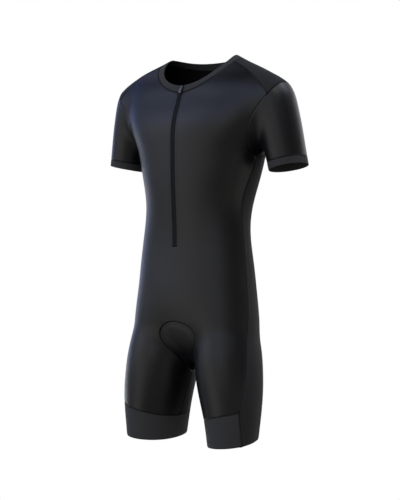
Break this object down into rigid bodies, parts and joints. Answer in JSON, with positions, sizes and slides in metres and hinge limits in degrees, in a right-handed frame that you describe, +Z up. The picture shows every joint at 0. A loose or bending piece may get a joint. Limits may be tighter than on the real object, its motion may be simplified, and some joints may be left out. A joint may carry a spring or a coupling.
{
  "type": "short-sleeved triathlon suit",
  "caption": "One-piece close-fitting sports suit, hollow as worn, with short sleeves, short legs, front zip, side panels and seat pad.",
  "frame": {"origin": "between the two neck points, at the height where the wearer's shoulders carry the suit", "axes": "+Z up, the front faces -Y, the wearer's left is +X"},
  "size_m": [0.5338, 0.222, 0.8651],
  "materials": {
    "gloss_cloth": "satin sheen stretch knit",
    "matt_cloth": "matt stretch knit",
    "zip_tape": "matt woven tape",
    "zip_metal": "satin"
  },
  "bodies": {
    "suit": {"front_panel": "gloss_cloth", "back_panel": "gloss_cloth", "sleeve_left": "gloss_cloth", "sleeve_right": "gloss_cloth", "seat_pad": "gloss_cloth", "side_left": "matt_cloth", "side_right": "matt_cloth", "yoke_left": "matt_cloth", "yoke_right": "matt_cloth", "neckband": "matt_cloth", "cuff_left": "matt_cloth", "cuff_right": "matt_cloth", "leg_band_left": "matt_cloth", "leg_band_right": "matt_cloth", "zip_tape": "zip_tape", "zip_slider": "zip_metal"},
    "pull_tab": {"zip_pull": "zip_metal"}
  },
  "joints": [
    {"name": "pull_tab_hinge", "type": "hinge", "parent": "suit", "child": "pull_tab", "pos_m": [0, -0.07074, -0.07446], "axis": [-1, 0, 0], "range_deg": [0, 150]}
  ]
}
